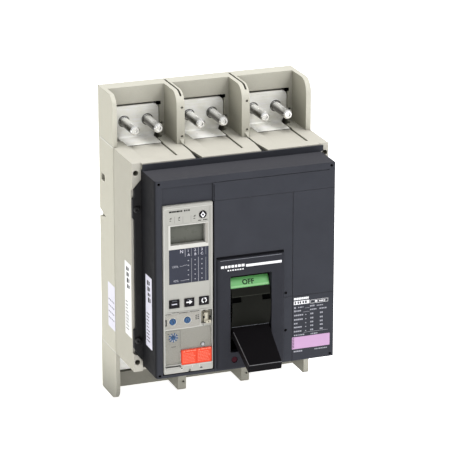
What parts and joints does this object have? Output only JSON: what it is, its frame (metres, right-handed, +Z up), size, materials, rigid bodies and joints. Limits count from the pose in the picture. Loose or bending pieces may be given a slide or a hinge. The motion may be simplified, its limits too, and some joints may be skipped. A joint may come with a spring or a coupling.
{
  "type": "air circuit breaker",
  "caption": "Fixed air circuit breaker with a toggle handle, an electronic trip unit, and bolted terminals in walled compartments at both ends.",
  "frame": {"origin": "centre of the rear mounting plane, at the middle of the fixing holes", "axes": "+X to the right seen from the front, +Y to the back, +Z up"},
  "size_m": [0.21, 0.1903, 0.327],
  "materials": {
    "cream_case": "moulded thermoset, fine texture",
    "dark_cover": "moulded plastic, fine spark texture",
    "black_plastic": "moulded plastic, satin",
    "green_flag": "printed flag",
    "white_flag": "printed flag",
    "zinc_steel": "zinc plated",
    "spring_steel": "drawn wire",
    "moulded_insulation": "glass-filled moulding",
    "trip_unit_grey": "moulded plastic, satin",
    "circuit_board": "laminate with components",
    "lcd_glass": "liquid-crystal glass",
    "dark_panel": "printed membrane",
    "black_key": "moulded keys",
    "blue_dial": "moulded dials",
    "clear_cover": "clear polycarbonate",
    "orange_plug": "printed label",
    "connector": "moulded socket",
    "red_button": "moulded button",
    "black_screw": "black zinc",
    "bolt_steel": "zinc plated",
    "copper": "bare copper",
    "silvered_copper": "silver plated copper, satin",
    "arc_steel": "steel plates in fibre cheeks",
    "transformer_resin": "cast resin"
  },
  "bodies": {
    "breaker": {"rear_base": "cream_case", "front_case": "cream_case", "mid_flange": "black_plastic", "front_cover": "dark_cover", "accessory_cover": "dark_cover", "handle_escutcheon": "dark_cover", "mechanism_side_plates": "zinc_steel", "mechanism_pins": "zinc_steel", "trip_unit_housing": "trip_unit_grey", "trip_unit_board": "circuit_board", "lcd_module": "lcd_glass", "bargraph_panel": "dark_panel", "rating_plug": "orange_plug", "rating_plug_screw": "zinc_steel", "test_connector": "connector", "trip_actuator": "black_plastic", "cover_screws": "zinc_steel", "flange_screws": "black_screw", "case_screws": "zinc_steel", "top_terminal_bolts": "bolt_steel", "bottom_terminal_bolts": "bolt_steel", "top_terminal_left": "silvered_copper", "bottom_terminal_left": "silvered_copper", "flexible_braid_left": "copper", "arc_chute_left": "arc_steel", "current_transformer_left": "transformer_resin", "top_terminal_centre": "silvered_copper", "bottom_terminal_centre": "silvered_copper", "flexible_braid_centre": "copper", "arc_chute_centre": "arc_steel", "current_transformer_centre": "transformer_resin", "top_terminal_right": "silvered_copper", "bottom_terminal_right": "silvered_copper", "flexible_braid_right": "copper", "arc_chute_right": "arc_steel", "current_transformer_right": "transformer_resin"},
    "handle": {"toggle_handle": "black_plastic", "handle_shutter": "black_plastic", "off_flag": "green_flag", "on_flag": "white_flag", "handle_yoke": "zinc_steel", "main_springs": "spring_steel"},
    "contact_shaft": {"pole_shaft": "moulded_insulation", "moving_contact_left": "copper", "moving_contact_centre": "copper", "moving_contact_right": "copper"},
    "toggle_links_body": {"toggle_links": "zinc_steel"},
    "latch_links_body": {"latch_links": "zinc_steel"},
    "trip_button_body": {"trip_button": "red_button"},
    "trip_bar_body": {"trip_bar": "moulded_insulation"},
    "actuator_plunger_body": {"actuator_plunger": "zinc_steel"},
    "key_left_body": {"key_left": "black_key"},
    "key_middle_body": {"key_middle": "black_key"},
    "key_right_body": {"key_right": "black_key"},
    "test_button_body": {"test_button": "black_key"},
    "dial_left_body": {"dial_left": "blue_dial"},
    "dial_right_body": {"dial_right": "blue_dial"},
    "dial_lower_body": {"dial_lower": "blue_dial"},
    "settings_cover_body": {"settings_cover": "clear_cover"}
  },
  "joints": [
    {"name": "handle_toggle", "type": "hinge", "parent": "breaker", "child": "handle", "pos_m": [0.0046, -0.1028, -0.0388], "axis": [-1, 0, 0], "range_deg": [-10, 60]},
    {"name": "contact_shaft_turn", "type": "hinge", "parent": "breaker", "child": "contact_shaft", "pos_m": [0, -0.06, -0.012], "axis": [-1, 0, 0], "range_deg": [-4.2, 24.2]},
    {"name": "toggle_links_fold", "type": "hinge", "parent": "contact_shaft", "child": "toggle_links_body", "pos_m": [0.0046, -0.08543, -0.01741], "axis": [1, 0, 0], "range_deg": [-10.3, 61]},
    {"name": "latch_links_fold", "type": "hinge", "parent": "breaker", "child": "latch_links_body", "pos_m": [0.0046, -0.0854, -0.062], "axis": [-1, 0, 0], "range_deg": [-6.3, 37]},
    {"name": "trip_button_press", "type": "slide", "parent": "breaker", "child": "trip_button_body", "axis": [0, 1, 0], "range_m": [0, 0.003], "stiffness_N_per_m": 150},
    {"name": "trip_bar_turn", "type": "hinge", "parent": "breaker", "child": "trip_bar_body", "pos_m": [-0.0215, -0.125, -0.075], "axis": [1, 0, 0], "range_deg": [0, 10]},
    {"name": "actuator_plunger_stroke", "type": "slide", "parent": "breaker", "child": "actuator_plunger_body", "axis": [0, 0, -1], "range_m": [0, 0.0045], "stiffness_N_per_m": 200},
    {"name": "key_left_press", "type": "slide", "parent": "breaker", "child": "key_left_body", "axis": [0, 1, 0], "range_m": [0, 0.0012], "stiffness_N_per_m": 400},
    {"name": "key_middle_press", "type": "slide", "parent": "breaker", "child": "key_middle_body", "axis": [0, 1, 0], "range_m": [0, 0.0012], "stiffness_N_per_m": 400},
    {"name": "key_right_press", "type": "slide", "parent": "breaker", "child": "key_right_body", "axis": [0, 1, 0], "range_m": [0, 0.0012], "stiffness_N_per_m": 400},
    {"name": "test_button_press", "type": "slide", "parent": "breaker", "child": "test_button_body", "axis": [0, 1, 0], "range_m": [0, 0.0012], "stiffness_N_per_m": 400},
    {"name": "dial_left_turn", "type": "hinge", "parent": "breaker", "child": "dial_left_body", "pos_m": [-0.0775, -0.145, -0.045], "axis": [0, -1, 0], "range_deg": [-135, 135]},
    {"name": "dial_right_turn", "type": "hinge", "parent": "breaker", "child": "dial_right_body", "pos_m": [-0.062, -0.145, -0.045], "axis": [0, -1, 0], "range_deg": [-135, 135]},
    {"name": "dial_lower_turn", "type": "hinge", "parent": "breaker", "child": "dial_lower_body", "pos_m": [-0.077, -0.145, -0.062], "axis": [0, -1, 0], "range_deg": [-135, 135]},
    {"name": "settings_cover_open", "type": "hinge", "parent": "breaker", "child": "settings_cover_body", "pos_m": [-0.0781, -0.147, -0.091], "axis": [1, 0, 0], "range_deg": [0, 100]}
  ],
  "couplings": [
    {"joint": "contact_shaft_turn", "follows": "handle_toggle", "ratio": 0.4},
    {"joint": "toggle_links_fold", "follows": "handle_toggle", "ratio": 1.0117},
    {"joint": "latch_links_fold", "follows": "handle_toggle", "ratio": 0.6117},
    {"joint": "trip_bar_turn", "follows": "trip_button_press", "rad_per_m": 56.4}
  ]
}
